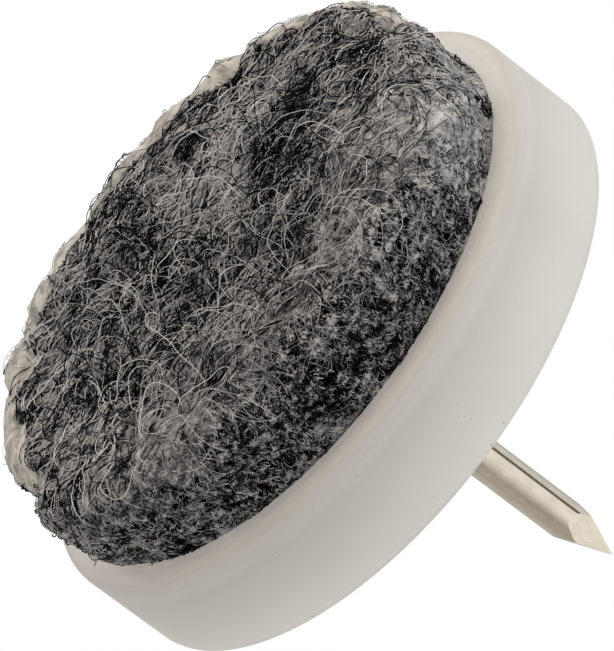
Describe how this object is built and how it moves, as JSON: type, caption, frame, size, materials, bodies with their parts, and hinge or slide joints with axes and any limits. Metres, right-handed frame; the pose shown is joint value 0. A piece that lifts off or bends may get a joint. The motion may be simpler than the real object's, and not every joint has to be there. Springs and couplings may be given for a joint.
{
  "type": "furniture glide",
  "caption": "Nail-on furniture glide: a round plastic cup with a felt pad on one side and a nail on the other, so that a chair or table leg slides quietly.",
  "frame": {"origin": "centre of the cup's mounting face, on the nail's axis", "axes": "+Z along the nail, away from the felt"},
  "size_m": [0.028, 0.028, 0.0246],
  "materials": {
    "cup": "satin, milky white, slightly translucent",
    "felt": "needled felt, mottled dark and light grey",
    "nail": "bright drawn steel"
  },
  "bodies": {
    "root": {"cup": "cup", "felt_pad": "felt", "nail": "nail"}
  },
  "joints": []
}
